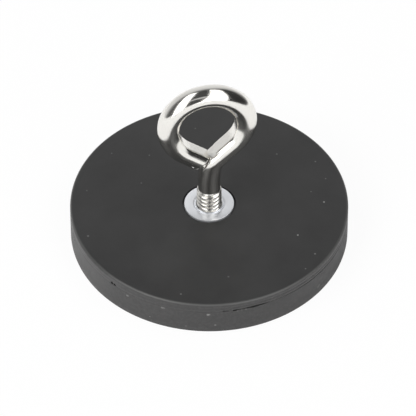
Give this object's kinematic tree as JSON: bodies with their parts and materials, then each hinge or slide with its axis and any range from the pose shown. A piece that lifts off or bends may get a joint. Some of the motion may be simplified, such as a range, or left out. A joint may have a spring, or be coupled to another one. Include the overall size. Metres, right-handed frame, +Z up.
{
  "type": "pot magnet",
  "caption": "Flat round rubber-coated pot magnet with a flush threaded bush in its centre and a bent-wire eyebolt screwed into it, for hanging, holding or lifting off by a ring or hook.",
  "frame": {"origin": "centre of the flat holding face, on the axis of the bush and bolt", "axes": "+Z up the bolt, away from the holding face; X across the eye, in its plane; the eye opens along Y"},
  "size_m": [0.043, 0.043, 0.031],
  "materials": {
    "jacket_rubber": "dark grey moulded rubber, matt",
    "eyebolt_nickel": "bright nickel plate on steel wire",
    "bush_zinc": "pale blue zinc plate on turned steel, satin",
    "plate_steel": "plain pressed steel, satin",
    "magnet_nickel": "nickel plate on neodymium magnet, satin"
  },
  "bodies": {
    "root": {"rubber_jacket": "jacket_rubber", "steel_plate": "plate_steel", "threaded_bush": "bush_zinc", "eyebolt": "eyebolt_nickel", "magnet_1": "magnet_nickel", "magnet_2": "magnet_nickel", "magnet_3": "magnet_nickel", "magnet_4": "magnet_nickel", "magnet_5": "magnet_nickel", "magnet_6": "magnet_nickel", "magnet_7": "magnet_nickel", "magnet_8": "magnet_nickel"}
  },
  "joints": []
}
